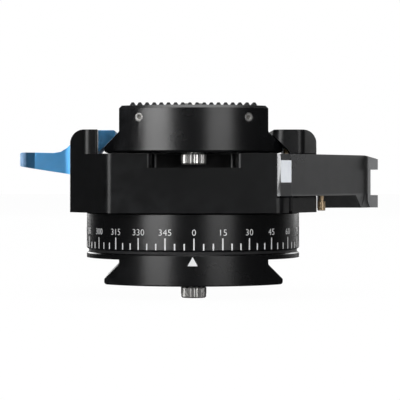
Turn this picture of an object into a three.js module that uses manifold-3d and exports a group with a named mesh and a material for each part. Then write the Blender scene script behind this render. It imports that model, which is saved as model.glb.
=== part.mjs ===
// Panoramic tripod head with a lever-operated dovetail clamp and its camera plate.
// Millimetres, +Z up. The origin is on the rotation axis at the foot's bottom face.
// The front faces -Y, the blue release lever is at -X and the grey lock lever at +X.

import * as THREE from 'three';
import { mergeVertices } from 'three/addons/utils/BufferGeometryUtils.js';
import Module from 'manifold-3d';

const wasm = await Module();
wasm.setup();

// Clearances and cutting
const clearance = { slide: 0.3, swing: 0.2, running: 0.1, seat: 0.05 };
const overrun = 2;
const mergeTolerance = 1e-4;

// Shared forms
const disc = { diameter: 46.6, edge: 0.25 };
const dovetail = { width: 38, neck: 31.5, rim: 1.15, corner: 0.6, root: 0.5 };
const hexSocketShare = 0.5;
const discSides = 60;

// Foot and its bearing
const foot = { height: 6.6, flange: 1.2, threadWeb: 1.6, insertRadius: 7, insertBore: 4.3 };
const glide = { inset: 0.45, width: 4.8, groove: 0.7 };
const spindle = { flangeRadius: 14.3, flangeHeight: 1.95, postRadius: 8, bore: 5, nutThread: 10.2 };
const spindleScrew = { circle: 11.1, headRadius: 2.7, shankRadius: 1.5, length: 5.6, count: 3, cone: 1.2 };
const bush = { wall: 1.75, collarWidth: 2, collarHeight: 0.7 };
const thrustWasher = { width: 3.6, height: 0.6 };
const springWasher = { width: 3.2, thickness: 0.4, rise: 0.5 };
const lockNut = { width: 3, height: 2.4, slotWidth: 2.2, slotDepth: 1.1, slots: 4 };

// Dial drum
const drum = { height: 7.9, webTop: 6, webBottom: 1.6, screwDepth: 5 };

// Clamp base
const base = {
  height: 12.4, halfWidth: 26.45, depth: 48.6, frontHalf: 18.1, sideHalf: 10.4, frontRound: 2,
  sideRound: 1.2, hubPocketRadius: 12.6, hubPocketDepth: 4.1, shelf: 3.2,
};
const notch = { halfWidth: 8.85, depth: 2.95, reach: 11.7, corner: 1, mouthRound: 1 };
const post = { height: 5.2, halfDepth: 16, round: 3, inner: 20.4, frontRound: 1.9, innerRound: 0.4 };
const slot = { halfWidth: 9.8, inner: 20, floor: 3.7 };
const baseScrew = {
  x: 13.5, y: 11, headRadius: 2.75, headHeight: 2.8, shankRadius: 1.5, sink: 0.3, grip: 4.6,
};

// Release lever, with its pin and springs
const release = {
  pivotX: -22.6, pivotDrop: 4.1, barrel: 2.2, pinRadius: 1.2, pinFront: 14, hookBack: 22.6, hookCorner: 0.4,
  armTopX: 28.4, armTop: 0.27, armRootTop: 2.06, armRootBottom: 4.28, tip: 37.95, tipTop: 0.5,
  tipBottom: 2.5, tabHalf: 9, tipFacetX: 3.9, tipFacetY: 2.5, tipEndX: 1.8, filletRadius: 4,
};
const releaseSpring = { x: 24.8, y: 5.5, coil: 0.9, wire: 0.2, turns: 4, pocket: 2.2 };

// Sliding jaw, with its guide pins, springs and the brass pin beside it
const jaw = { lead: 2.6, legWidth: 3.5, legGap: 0.9, legDrop: 12.1, lip: 1.05, topCorner: 0.4 };
const guidePin = { radius: 1, y: 5.5, drop: 5.2, depth: 4.6, endGap: 0.3 };
const jawSpring = { coil: 1.45, wire: 0.2, turns: 4, pocket: 2 };
const plunger = { x: 19.95, y: -10.4, radius: 0.7, rise: 1.6, length: 5, pocket: 1.05, headroom: 0.8 };
const plungerSpring = { coil: 0.45, wire: 0.12, turns: 4, height: 3 };

// Lock lever, drawn lying along its own x axis with the pivot at its origin and its face towards -y
const lever = {
  pivotX: 19.2, pivotY: -20.15, lean: 57, hub: 4.4, face: 3.2, web: 2.5, height: 8.8, lift: 0.35,
  start: 3.1, endFacet: 2.15, endFacetLean: -12, length: 29.95, flare: 3, flareLean: 15, flange: 2.05,
  flangeReach: 3.3, skirt: 2.75, skirtStart: 15.3, lip: 0.8, tipDepth: 3.2, bevel: 0.5,
};
const tipNotch = { start: 30.9, top: 5.65, slopeDrop: 1 };
const scoop = { x: 18.4, y: -6.7, topRadius: 7.7, bottomRadius: 8.6 };
const shoulderScrew = { radius: 1.6, headRadius: 2.5, headHeight: 2, thread: 1.3, threadLength: 2.8 };
const roller = { x: 14.6, y: -0.55, radius: 0.86, neck: 0.54, head: 2.05, drop: 3.25, seat: 2 };

// Camera plate, pad and screws
const plate = { thickness: 9.9, topChamfer: 0.6, bottomChamfer: 0.4 };
const pad = {
  width: 27.4, depth: 26, ridges: 18, ridgeHeight: 0.8, crest: 0.5, sink: 0.9, corner: 1, bore: 3.9,
};
const camScrew = {
  radius: 3.175, headRadius: 5.8, headHeight: 2.2, tipRadius: 2.35, tipChamfer: 0.8, stickOut: 0.3,
};
const screwWell = { radius: 6.2, roof: 1.1, slotWidth: 1.2, slotDepth: 1 };
const snapRing = { width: 1.4, thickness: 0.6, groove: 0.55, lip: 0.15, gap: 2.4 };
const screwWasher = { width: 2.1, thickness: 0.5 };
const grub = { angle: 30, drop: 2.5, radius: 0.95, length: 4, sink: 0.25, socket: 0.5, socketDepth: 1.4 };
const stopScrew = {
  y: 17.5, headRadius: 2.68, headHeight: 2.35, shankRadius: 1.4, shankLength: 4.3, teeth: 24,
  toothDepth: 0.16, chamfer: 0.3, slotWidth: 0.6, slotDepth: 0.8,
};

// Pan lock at the back
const knob = {
  radius: 6.5, length: 9, flutes: 10, fluteRadius: 1.5, collarRadius: 3.8, collar: 2, chamfer: 0.6,
};
const stud = { radius: 2, grip: 6.5, shoeLength: 4.3, shoeGap: 0.4, spotFace: 4.6, spotDepth: 0.7 };

// Heights, stacked from the foot up
const zDrum = foot.height + glide.groove;
const zDrumTop = zDrum + drum.height;
const zBase = zDrumTop + 2 * clearance.seat;
const zFloor = zBase + base.height;
const zPostTop = zFloor + post.height;
const zShelf = zBase + base.shelf;
const zPlate = zFloor + clearance.slide;
const zPlateTop = zPlate + plate.thickness;
const zPadTop = zPlateTop + pad.ridgeHeight + clearance.seat;
const zStud = zDrum + (drum.webTop + drum.webBottom) / 2;
const discRadius = disc.diameter / 2;
const baseHalfDepth = base.depth / 2;
const flank = (dovetail.width - dovetail.neck) / 2;

// Finishes
const finish = {
  black: { color: 0x131416, roughness: 0.42, metalness: 0.6 },
  grey: { color: 0x47484a, roughness: 0.45, metalness: 0.7 },
  blue: { color: 0x3f86c6, roughness: 0.35, metalness: 0.8 },
  steel: { color: 0xc3c5c8, roughness: 0.3, metalness: 1 },
  darkSteel: { color: 0x3b3c3f, roughness: 0.4, metalness: 0.9 },
  brass: { color: 0xb9955f, roughness: 0.35, metalness: 1 },
  bronze: { color: 0x8d6a3f, roughness: 0.4, metalness: 1 },
  rubber: { color: 0x3c3d3f, roughness: 0.85, metalness: 0 },
  nylon: { color: 0x26272a, roughness: 0.6, metalness: 0 },
};

const head = new THREE.Group();
const radians = THREE.MathUtils.degToRad;

// A closed geometry as a solid, with shared vertices merged and slivers at a lathe's poles dropped.
function solid(shape) {
  if (!shape.isBufferGeometry) return shape;
  const bare = shape.index ? shape.toNonIndexed() : shape.clone();
  bare.deleteAttribute('normal');
  bare.deleteAttribute('uv');
  const merged = mergeVertices(bare, mergeTolerance);
  const corners = [];
  for (let i = 0; i < merged.index.count; i += 3) {
    const [a, b, c] = merged.index.array.slice(i, i + 3);
    if (a !== b && b !== c && c !== a) corners.push(a, b, c);
  }
  const triVerts = new Uint32Array(corners);
  const vertProperties = merged.attributes.position.array;
  return new wasm.Manifold(new wasm.Mesh({ numProp: 3, vertProperties, triVerts }));
}

const join = (first, ...others) => others.reduce((sum, other) => sum.add(solid(other)), solid(first));
const cut = (first, ...others) => others.reduce((sum, other) => sum.subtract(solid(other)), solid(first));
const common = (first, ...others) =>
  others.reduce((sum, other) => sum.intersect(solid(other)), solid(first));

// Adds a named mesh to the head.
function addPart(name, shape, look) {
  const { vertProperties, triVerts } = solid(shape).getMesh();
  const geometry = new THREE.BufferGeometry();
  geometry.setAttribute('position', new THREE.BufferAttribute(new Float32Array(vertProperties), 3));
  geometry.setIndex(new THREE.BufferAttribute(new Uint32Array(triVerts), 1));
  geometry.computeVertexNormals();
  const mesh = new THREE.Mesh(geometry, new THREE.MeshStandardMaterial({ ...look, flatShading: true }));
  mesh.name = name;
  head.add(mesh);
}

// An outline from corners [x, y, radius], with the rounded corners as arcs.
function outline(corners, arcStep = 18) {
  const points = [];
  corners.forEach(([x, y, radius = 0], i) => {
    const corner = new THREE.Vector2(x, y);
    if (radius === 0) {
      points.push(corner);
      return;
    }
    const back = new THREE.Vector2(...corners.at(i - 1)).sub(corner).normalize();
    const ahead = new THREE.Vector2(...corners[(i + 1) % corners.length]).sub(corner).normalize();
    const half = Math.acos(back.dot(ahead)) / 2;
    const centre = back.clone().add(ahead).normalize().multiplyScalar(radius / Math.sin(half)).add(corner);
    const from = back.clone().multiplyScalar(radius / Math.tan(half)).add(corner).sub(centre);
    const turn = (Math.PI - 2 * half) * -Math.sign(back.cross(ahead));
    const steps = Math.max(1, Math.round(Math.abs(turn) / radians(arcStep)));
    for (let k = 0; k <= steps; k += 1) {
      points.push(from.clone().rotateAround(new THREE.Vector2(), (turn * k) / steps).add(centre));
    }
  });
  return new THREE.Shape(points);
}

// Prisms: an outline in XY drawn up Z, and an outline in XZ drawn along Y.
const prismZ = (shape, low, high) =>
  new THREE.ExtrudeGeometry(shape, { depth: high - low, bevelEnabled: false }).translate(0, 0, low);
const prismY = (shape, low, high) =>
  new THREE.ExtrudeGeometry(shape, { depth: high - low, bevelEnabled: false })
    .rotateX(Math.PI / 2).translate(0, high, 0);

const box = (low, high) =>
  new THREE.BoxGeometry(high[0] - low[0], high[1] - low[1], high[2] - low[2])
    .translate((low[0] + high[0]) / 2, (low[1] + high[1]) / 2, (low[2] + high[2]) / 2);

// Rods along Z, Y and X.
const rodZ = (radius, low, high, x = 0, y = 0, sides = 24) =>
  new THREE.CylinderGeometry(radius, radius, high - low, sides)
    .rotateX(Math.PI / 2).translate(x, y, (low + high) / 2);
const rodY = (radius, low, high, x, z, sides = 24) =>
  new THREE.CylinderGeometry(radius, radius, high - low, sides).translate(x, (low + high) / 2, z);
const rodX = (radius, low, high, y, z, sides = 20) =>
  new THREE.CylinderGeometry(radius, radius, high - low, sides)
    .rotateZ(Math.PI / 2).translate((low + high) / 2, y, z);

// A turned body about Z from a closed profile of [radius, height].
function turned(profile, sides = 24) {
  const points = profile.map(([radius, height]) => new THREE.Vector2(radius, height));
  const area = THREE.ShapeUtils.area(points);
  if (area < 0) points.reverse();
  points.push(points[0].clone());
  return new THREE.LatheGeometry(points, sides).rotateX(Math.PI / 2);
}

const ring = (inner, outer, low, high, sides = 48) =>
  turned([[inner, low], [outer, low], [outer, high], [inner, high]], sides);

const hexPrism = (radius, low, high) => rodZ(radius, low, high, 0, 0, 6);

// A coil spring about Z, drawn as one tube along its helix.
class Helix extends THREE.Curve {
  constructor(radius, turns, low, high) {
    super();
    Object.assign(this, { radius, turns, low, high });
  }

  getPoint(share, target = new THREE.Vector3()) {
    const angle = share * this.turns * 2 * Math.PI;
    const height = this.low + (this.high - this.low) * share;
    return target.set(this.radius * Math.cos(angle), this.radius * Math.sin(angle), height);
  }
}

function coilSpring({ coil, wire, turns }, low, high) {
  const stepsPerTurn = 8;
  const section = new THREE.Shape(new THREE.EllipseCurve(0, 0, wire, wire).getPoints(5).slice(0, 5));
  const extrudePath = new Helix(coil, turns, low + wire, high - wire);
  return new THREE.ExtrudeGeometry(section, { steps: stepsPerTurn * turns, extrudePath });
}

// The dovetail's outline in XZ, from its wide face up to a given height.
function dovetailOutline(wideZ, topZ, topHalf, topEdge) {
  const half = dovetail.width / 2;
  const neck = dovetail.neck / 2;
  const side = (sign) => [
    [sign * half, wideZ, dovetail.corner],
    [sign * half, wideZ + dovetail.rim],
    [sign * neck, wideZ + dovetail.rim + flank, dovetail.root],
    ...topEdge.map(([x, z]) => [sign * (x + topHalf), z]),
  ];
  const right = side(1);
  const left = side(-1).reverse();
  return outline([...right, ...left]);
}

// Foot

function footBody() {
  const r = discRadius;
  const floor = foot.height - foot.threadWeb;
  const profile = [
    [foot.insertRadius + clearance.running, 0], [r - disc.edge, 0], [r, disc.edge],
    [r, foot.height - disc.edge],
    [r - disc.edge, foot.height], [spindle.bore, foot.height], [spindle.bore, floor],
    [foot.insertRadius + clearance.running, floor],
  ];
  const neckTop = foot.height - foot.flange;
  const section = dovetailOutline(0, foot.height, 0, [
    [dovetail.neck / 2, neckTop], [r + overrun, neckTop], [r + overrun, foot.height + overrun],
  ]);
  const screwHoles = stopScrewPlaces().map((y) =>
    rodZ(stopScrew.shankRadius + clearance.running, -overrun, stopScrew.shankLength + clearance.slide,
      0, y, 16));
  const low = foot.height - spindleScrew.length + spindle.flangeHeight - clearance.slide;
  const spindleHoles = spindleScrewPlaces().map(([x, y]) =>
    rodZ(spindleScrew.shankRadius + clearance.running, low, foot.height + overrun, x, y, 16));
  const body = common(turned(profile, discSides), prismY(section, -r - overrun, r + overrun));
  return cut(body, ...screwHoles, ...spindleHoles);
}

const stopScrewPlaces = () => [-stopScrew.y, stopScrew.y];

const spindleScrewPlaces = () =>
  Array.from({ length: spindleScrew.count }, (_, i) => {
    const angle = Math.PI / 2 + (i * 2 * Math.PI) / spindleScrew.count;
    return [spindleScrew.circle * Math.cos(angle), spindleScrew.circle * Math.sin(angle)];
  });

function threadInsert() {
  const top = foot.height - foot.threadWeb - clearance.seat;
  const body = ring(foot.insertBore, foot.insertRadius, clearance.swing, top, 32);
  const driverSlot = box(
    [-discRadius, -snapRing.thickness, -overrun], [discRadius, snapRing.thickness, snapRing.width],
  );
  return cut(body, driverSlot);
}

const zSpindle = foot.height + clearance.seat;
const zFlangeTop = zSpindle + spindle.flangeHeight;
const zBushCollar = zDrum + drum.webTop + clearance.seat;
const zThrust = zBushCollar + bush.collarHeight + clearance.seat;
const zSpringWasher = zThrust + thrustWasher.height + clearance.seat;
const zNut = zSpringWasher + springWasher.thickness + springWasher.rise + clearance.seat;

function spindleBody() {
  const { flangeRadius, postRadius, bore } = spindle;
  const body = turned([
    [bore, zSpindle], [flangeRadius, zSpindle], [flangeRadius, zFlangeTop], [postRadius, zFlangeTop],
    [postRadius, zFlangeTop + spindle.nutThread], [bore, zFlangeTop + spindle.nutThread],
  ], 32);
  const { headRadius, shankRadius, cone } = spindleScrew;
  const countersink = turned([
    [0, zFlangeTop + overrun], [headRadius + clearance.running, zFlangeTop + overrun],
    [headRadius + clearance.running, zFlangeTop], [shankRadius + clearance.running, zFlangeTop - cone],
    [shankRadius + clearance.running, zSpindle - overrun], [0, zSpindle - overrun],
  ], 16);
  return cut(body, ...spindleScrewPlaces().map(([x, y]) => countersink.clone().translate(x, y, 0)));
}

function spindleScrewBody() {
  const { headRadius, shankRadius, cone, length } = spindleScrew;
  const top = zFlangeTop - clearance.seat;
  const body = turned([
    [0, top], [headRadius, top], [shankRadius, top - cone], [shankRadius, top - length], [0, top - length],
  ], 16);
  return cut(body, hexPrism(headRadius * hexSocketShare, top - cone, top + overrun));
}

function stopScrewBody() {
  const { headRadius, headHeight, shankRadius, shankLength, teeth, toothDepth, chamfer } = stopScrew;
  const star = Array.from({ length: 2 * teeth }, (_, i) => {
    const radius = headRadius - (i % 2) * toothDepth;
    return new THREE.Vector2(radius, 0).rotateAround(new THREE.Vector2(), (i * Math.PI) / teeth);
  });
  const edge = headRadius - chamfer;
  const turnedHead = turned([
    [0, 0], [headRadius, 0], [headRadius + clearance.seat, chamfer - headHeight], [edge, -headHeight],
    [0, -headHeight],
  ], teeth);
  const slotBox = box(
    [-headRadius - overrun, -stopScrew.slotWidth / 2, -headHeight - overrun],
    [headRadius + overrun, stopScrew.slotWidth / 2, stopScrew.slotDepth - headHeight],
  );
  const headBody = cut(common(prismZ(new THREE.Shape(star), -headHeight, 0), turnedHead), slotBox);
  return join(headBody, rodZ(shankRadius, -chamfer, shankLength, 0, 0, 16));
}

const lockNutBody = () => {
  const inner = spindle.postRadius + clearance.seat;
  const outer = inner + lockNut.width;
  const slots = Array.from({ length: lockNut.slots / 2 }, (_, i) => {
    const bar = box(
      [-outer - overrun, -lockNut.slotWidth / 2, zNut + lockNut.height - lockNut.slotDepth],
      [outer + overrun, lockNut.slotWidth / 2, zNut + lockNut.height + overrun],
    );
    return bar.rotateZ((i * 2 * Math.PI) / lockNut.slots);
  });
  return cut(ring(inner, outer, zNut, zNut + lockNut.height, 28), ...slots);
};

function springWasherBody() {
  const inner = spindle.postRadius + clearance.running;
  const outer = inner + springWasher.width;
  const { thickness, rise } = springWasher;
  return turned([
    [inner, zSpringWasher + rise], [outer, zSpringWasher], [outer, zSpringWasher + thickness],
    [inner, zSpringWasher + thickness + rise],
  ], 28);
}

function addFoot() {
  addPart('foot_dovetail', footBody(), finish.black);
  addPart('foot_thread_insert', threadInsert(), finish.steel);
  const glideOuter = discRadius - glide.inset;
  const glideLow = foot.height + clearance.seat;
  const glideTop = zDrum - 2 * clearance.seat;
  addPart('glide_ring', ring(glideOuter - glide.width, glideOuter, glideLow, glideTop, 48), finish.nylon);
  addPart('spindle', spindleBody(), finish.steel);
  spindleScrewPlaces().forEach(([x, y], i) => {
    addPart(`spindle_screw_${i + 1}`, placed(spindleScrewBody(), x, y, 0), finish.darkSteel);
  });
  const washerInner = spindle.postRadius + clearance.running;
  addPart('thrust_washer',
    ring(washerInner, washerInner + thrustWasher.width, zThrust, zThrust + thrustWasher.height, 28),
      finish.steel);
  addPart('spring_washer', springWasherBody(), finish.steel);
  addPart('spindle_lock_nut', lockNutBody(), finish.darkSteel);
  addPart('foot_stop_screw_front', placed(stopScrewBody(), 0, -stopScrew.y, -clearance.swing),
    finish.steel);
  addPart('foot_stop_screw_rear', placed(stopScrewBody(), 0, stopScrew.y, -clearance.swing), finish.steel);
}

// A finished solid as a geometry moved to its place.
function placed(shape, x, y, z) {
  const { vertProperties, triVerts } = solid(shape).getMesh();
  const geometry = new THREE.BufferGeometry();
  geometry.setAttribute('position', new THREE.BufferAttribute(new Float32Array(vertProperties), 3));
  geometry.setIndex(new THREE.BufferAttribute(new Uint32Array(triVerts), 1));
  return geometry.translate(x, y, z);
}

// Dial drum and bush

const bushOuter = spindle.postRadius + clearance.running + bush.wall;
const counterboreRadius = bushOuter + bush.collarWidth + 2 * clearance.slide;

function drumBody() {
  const r = discRadius;
  const webLow = zDrum + drum.webBottom;
  const webHigh = zDrum + drum.webTop;
  const well = spindle.flangeRadius + clearance.slide;
  const profile = [
    [well, zDrum], [r - disc.edge, zDrum], [r, zDrum + disc.edge], [r, zDrumTop - disc.edge],
    [r - disc.edge, zDrumTop], [counterboreRadius, zDrumTop], [counterboreRadius, webHigh],
    [bushOuter + clearance.seat, webHigh], [bushOuter + clearance.seat, webLow], [well, webLow],
  ];
  const holes = baseScrewPlaces().map(([x, y]) =>
    rodZ(baseScrew.shankRadius + clearance.running, zDrumTop - drum.screwDepth, zDrumTop + overrun, x, y,
      14));
  const studBore = rodY(stud.radius + clearance.running, spindle.postRadius, r + overrun, 0, zStud, 20);
  const spotFace = rodY(stud.spotFace, r - stud.spotDepth, r + overrun, 0, zStud, 24);
  return cut(turned(profile, discSides), ...holes, studBore, spotFace);
}

function bushBody() {
  const inner = spindle.postRadius + clearance.running;
  const low = zDrum + drum.webBottom + clearance.seat;
  const profile = [
    [inner, low], [bushOuter, low], [bushOuter, zBushCollar], [bushOuter + bush.collarWidth, zBushCollar],
    [bushOuter + bush.collarWidth, zBushCollar + bush.collarHeight],
    [inner, zBushCollar + bush.collarHeight],
  ];
  const studBore = rodY(stud.radius + clearance.running, 0, bushOuter + overrun, 0, zStud, 20);
  return cut(turned(profile, 28), studBore);
}

// Clamp base

const baseScrewPlaces = () =>
  [-1, 1].flatMap((sx) => [-1, 1].map((sy) => [sx * baseScrew.x, sy * baseScrew.y]));

// The plan of the clamp: an octagon with rounded corners.
function clampPlan() {
  const { frontHalf, sideHalf, halfWidth, frontRound, sideRound } = base;
  const right = [
    [frontHalf, -baseHalfDepth, frontRound], [halfWidth, -sideHalf, sideRound],
    [halfWidth, sideHalf, sideRound], [frontHalf, baseHalfDepth, frontRound],
  ];
  const left = right.map(([x, y, round]) => [-x, y, round]).reverse();
  return outline([...right, ...left]);
}

// The plan of one upright side wall, from its inner edge out to the clamp's sides.
function wallPlan(side, innerEdge, innerRound) {
  const { halfWidth, frontHalf, sideHalf, sideRound } = base;
  const run = (halfWidth - frontHalf) / (baseHalfDepth - sideHalf);
  const edge = halfWidth - run * (post.halfDepth - sideHalf);
  const rear = [
    [side * innerEdge, post.halfDepth, innerRound], [side * edge, post.halfDepth, post.frontRound],
    [side * halfWidth, sideHalf, sideRound],
  ];
  const front = rear.map(([x, y, round]) => [x, -y, round]).reverse();
  return outline([...rear, ...front]);
}

// The round over the top of a side wall, as an outline in XZ reaching below the floor.
const wallSection = (side, inner, low) => outline([
  [side * inner, low], [side * base.halfWidth, low], [side * base.halfWidth, zPostTop, post.round],
  [side * inner, zPostTop],
], 12);

function notchCutter() {
  const face = baseHalfDepth;
  const { halfWidth, corner, reach, mouthRound } = notch;
  const inner = face - reach;
  const mouth = halfWidth + 2 * mouthRound;
  const right = [
    [halfWidth, inner, corner], [halfWidth, face, mouthRound], [mouth, face], [mouth, face + overrun],
  ];
  const left = right.map(([x, y, round]) => [-x, y, round]).reverse();
  return prismZ(outline([...right, ...left]), zFloor - notch.depth, zFloor + overrun);
}

// Where the lock lever swings: a round pocket at its hub and a flat recess along its web.
function leverPocket() {
  const hub = rodZ(leverSwing + clearance.swing, zShelf, zPostTop, 0, 0, 48);
  const along = lever.length;
  const webInner = lever.web - lever.face + clearance.slide;
  const recess = box([0, -along, zShelf], [along, webInner, zPostTop]);
  return placedLever(join(hub, recess));
}

const leverSwing = Math.hypot(lever.start, lever.face);

const placedLever = (shape) => {
  const geometry = placed(shape, 0, 0, 0);
  return geometry.rotateZ(radians(lever.lean)).translate(lever.pivotX, lever.pivotY, 0);
};

const legInner = base.halfWidth - jaw.legWidth;
const mortiseInner = legInner - jaw.legGap;
const zGuide = zFloor - guidePin.drop;
const zReleasePivot = zFloor - release.pivotDrop;
const zSlotFloor = zBase + slot.floor;

function baseBody() {
  const block = prismZ(clampPlan(), zBase, zFloor);
  const wall = common(
    prismZ(wallPlan(-1, post.inner, post.innerRound), zFloor - overrun, zPostTop),
    prismY(wallSection(-1, post.inner, zFloor - overrun), -post.halfDepth, post.halfDepth),
  );
  const far = base.halfWidth + overrun;
  const frontNotch = notchCutter();
  const rearNotch = notchCutter().rotateZ(Math.PI);
  const hubPocket = rodZ(base.hubPocketRadius, zBase - overrun, zBase + base.hubPocketDepth, 0, 0, 32);
  const leverSlot = box([-far, -slot.halfWidth, zSlotFloor],
    [-slot.inner, slot.halfWidth, zPostTop + overrun]);
  const mortise = box([mortiseInner, -slot.halfWidth, zBase - overrun], [far, slot.halfWidth, zPostTop]);
  const pinBore = rodY(release.pinRadius + clearance.seat, -release.pinFront, baseHalfDepth, release.pivotX,
    zReleasePivot, 20);
  const screwBores = baseScrewPlaces().flatMap(([x, y]) => [
    rodZ(baseScrew.shankRadius + clearance.running, zBase - overrun, zFloor, x, y, 14),
    rodZ(baseScrew.headRadius + clearance.slide,
      zFloor - baseScrew.sink - baseScrew.headHeight - clearance.running,
      zFloor + overrun, x, y, 20),
  ]);
  const springPockets = springPlaces(releaseSpring).map((y) =>
    rodZ(releaseSpring.coil + releaseSpring.wire + clearance.swing, zSlotFloor - releaseSpring.pocket,
      zSlotFloor + overrun, -releaseSpring.x, y, 16));
  const guideBores = springPlaces(guidePin).flatMap((y) => [
    rodX(guidePin.radius + clearance.seat, mortiseInner - guidePin.depth - clearance.slide,
      mortiseInner + overrun, y, zGuide),
    rodX(jawSpring.coil + jawSpring.wire + clearance.swing, mortiseInner - jawSpring.pocket,
      mortiseInner + overrun, y, zGuide),
  ]);
  const plungerBore = rodZ(plunger.radius + clearance.running,
    zFloor + plunger.rise - plunger.length - plungerSpring.height - clearance.swing, zFloor + overrun,
    plunger.x, plunger.y, 16);
  const leverThread = rodZ(shoulderScrew.thread + clearance.running, zBase - overrun, zShelf + overrun,
    lever.pivotX, lever.pivotY, 16);
  return cut(join(block, wall), frontNotch, rearNotch, hubPocket, leverSlot, mortise, pinBore,
    leverPocket(), ...screwBores, ...springPockets, ...guideBores, plungerBore, leverThread);
}

const springPlaces = ({ y }) => [-y, y];

// A cap screw with a hex socket, its head's top at z = 0.
function capScrew({ headRadius, headHeight, shankRadius }, length) {
  const edge = clearance.swing;
  const body = turned([
    [0, 0], [headRadius - edge, 0], [headRadius, -edge], [headRadius, -headHeight],
    [shankRadius, -headHeight],
    [shankRadius, edge - length], [shankRadius - edge, -length], [0, -length],
  ], 14);
  return cut(body, hexPrism(headRadius * hexSocketShare, -headHeight * hexSocketShare, overrun));
}

function addTurntable() {
  addPart('dial_drum', drumBody(), finish.black);
  addPart('pan_bush', bushBody(), finish.bronze);
  addPart('clamp_base', baseBody(), finish.black);
  const screwTop = zFloor - baseScrew.sink;
  const screwLength = screwTop - zDrumTop + baseScrew.grip;
  baseScrewPlaces().forEach(([x, y], i) => {
    addPart(`base_screw_${i + 1}`, placed(capScrew(baseScrew, screwLength), x, y, screwTop),
      finish.darkSteel);
  });
  const pinFront = release.pinFront - clearance.seat;
  addPart('release_pivot_pin',
    rodY(release.pinRadius, -pinFront, post.halfDepth, release.pivotX, zReleasePivot, 20), finish.steel);
  const zSpringTop = zReleasePivot - release.barrel - clearance.seat;
  springPlaces(releaseSpring).forEach((y, i) => {
    const coil = coilSpring(releaseSpring, zSlotFloor - releaseSpring.pocket + clearance.seat, zSpringTop);
    addPart(`release_spring_${i + 1}`, coil.translate(-releaseSpring.x, y, 0), finish.steel);
  });
  springPlaces(guidePin).forEach((y, i) => {
    const from = mortiseInner - guidePin.depth;
    const pin = rodX(guidePin.radius, from, base.halfWidth - guidePin.endGap, y, zGuide);
    addPart(`jaw_guide_pin_${i + 1}`, pin, finish.steel);
    const reach = mortiseInner - jawSpring.pocket + clearance.seat;
    const coil = coilSpring(jawSpring, 0, legInner - reach - clearance.seat).rotateY(Math.PI / 2);
    addPart(`jaw_spring_${i + 1}`, coil.translate(reach, y, zGuide), finish.steel);
  });
  const plungerLow = zFloor + plunger.rise - plunger.length;
  const plungerCoil = coilSpring(plungerSpring, plungerLow - plungerSpring.height,
    plungerLow - clearance.seat);
  addPart('plunger_spring', plungerCoil.translate(plunger.x, plunger.y, 0), finish.steel);
  addPart('lever_shoulder_screw', shoulderScrewBody(), finish.darkSteel);
}

const zLever = zShelf + lever.lift;
const zLeverTop = zLever + lever.height;

function shoulderScrewBody() {
  const { radius, headRadius, headHeight, thread, threadLength } = shoulderScrew;
  const top = zLeverTop - clearance.swing;
  const body = turned([
    [0, top], [headRadius - clearance.swing, top], [headRadius, top - clearance.swing],
    [headRadius, top - headHeight],
    [radius, top - headHeight], [radius, zShelf + clearance.seat], [thread, zShelf + clearance.seat],
    [thread, zShelf - threadLength], [0, zShelf - threadLength],
  ], 20);
  const socket = hexPrism(headRadius * hexSocketShare, top - headHeight * hexSocketShare, top + overrun);
  return placed(cut(body, socket), lever.pivotX, lever.pivotY, 0);
}

// Release lever

// The hook's lip and its undercut, at the clearance that the dovetail's flank asks for.
const lipX = dovetail.neck / 2 + jaw.lip;
const flankLine = dovetail.width / 2 + zPlate + dovetail.rim + clearance.slide * Math.SQRT2;
const hookInner = (side, back) => [
  [side * lipX, flankLine - lipX], [side * back, flankLine - back],
];

function releaseSection() {
  const top = zPostTop;
  const back = post.inner + clearance.seat;
  const barrelBottom = zReleasePivot - release.barrel;
  const underarm = zFloor - release.armRootBottom;
  const springSeat = releaseSpring.x + releaseSpring.coil + releaseSpring.wire;
  const [lip, undercut] = hookInner(-1, back);
  return outline([
    undercut, lip, [-lipX, top, release.hookCorner], [-release.hookBack, top, release.hookCorner],
    [-base.halfWidth, zFloor + release.armRootTop, release.filletRadius],
    [-release.armTopX, zFloor + release.armTop, release.filletRadius],
    [-release.tip, zFloor + release.tipTop, release.hookCorner],
    [-release.tip, zFloor - release.tipBottom, release.hookCorner],
    [-base.halfWidth, underarm], [-springSeat, barrelBottom, release.hookCorner],
    [-back, barrelBottom, release.barrel * hexSocketShare],
  ]);
}

function releaseLeverBody() {
  const half = slot.halfWidth - clearance.slide;
  const { tip, tabHalf, tipFacetX, tipFacetY, tipEndX, filletRadius } = release;
  const shoulder = base.halfWidth - 2 * clearance.slide;
  const run = Math.sqrt(filletRadius ** 2 - (filletRadius - (half - tabHalf)) ** 2);
  const flare = Array.from({ length: 5 }, (_, i) => {
    const x = (run * i) / 4;
    return [shoulder + run - x, tabHalf + filletRadius - Math.sqrt(filletRadius ** 2 - x ** 2)];
  });
  const rear = [
    [lipX - overrun, half], ...flare.reverse(), [tip - tipFacetX, tabHalf],
    [tip - tipEndX, tabHalf - tipFacetY],
    [tip, 0],
  ];
  const front = rear.slice(0, -1).map(([x, y]) => [x, -y]).reverse();
  const plan = outline([...rear, ...front].map(([x, y]) => [-x, y]));
  const blank = prismY(releaseSection(), -half, half);
  const bore = rodY(release.pinRadius + clearance.running, -half - overrun, half + overrun, release.pivotX,
    zReleasePivot, 20);
  return cut(common(blank, prismZ(plan, zBase, zPostTop + overrun)), bore);
}

// Sliding jaw

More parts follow.
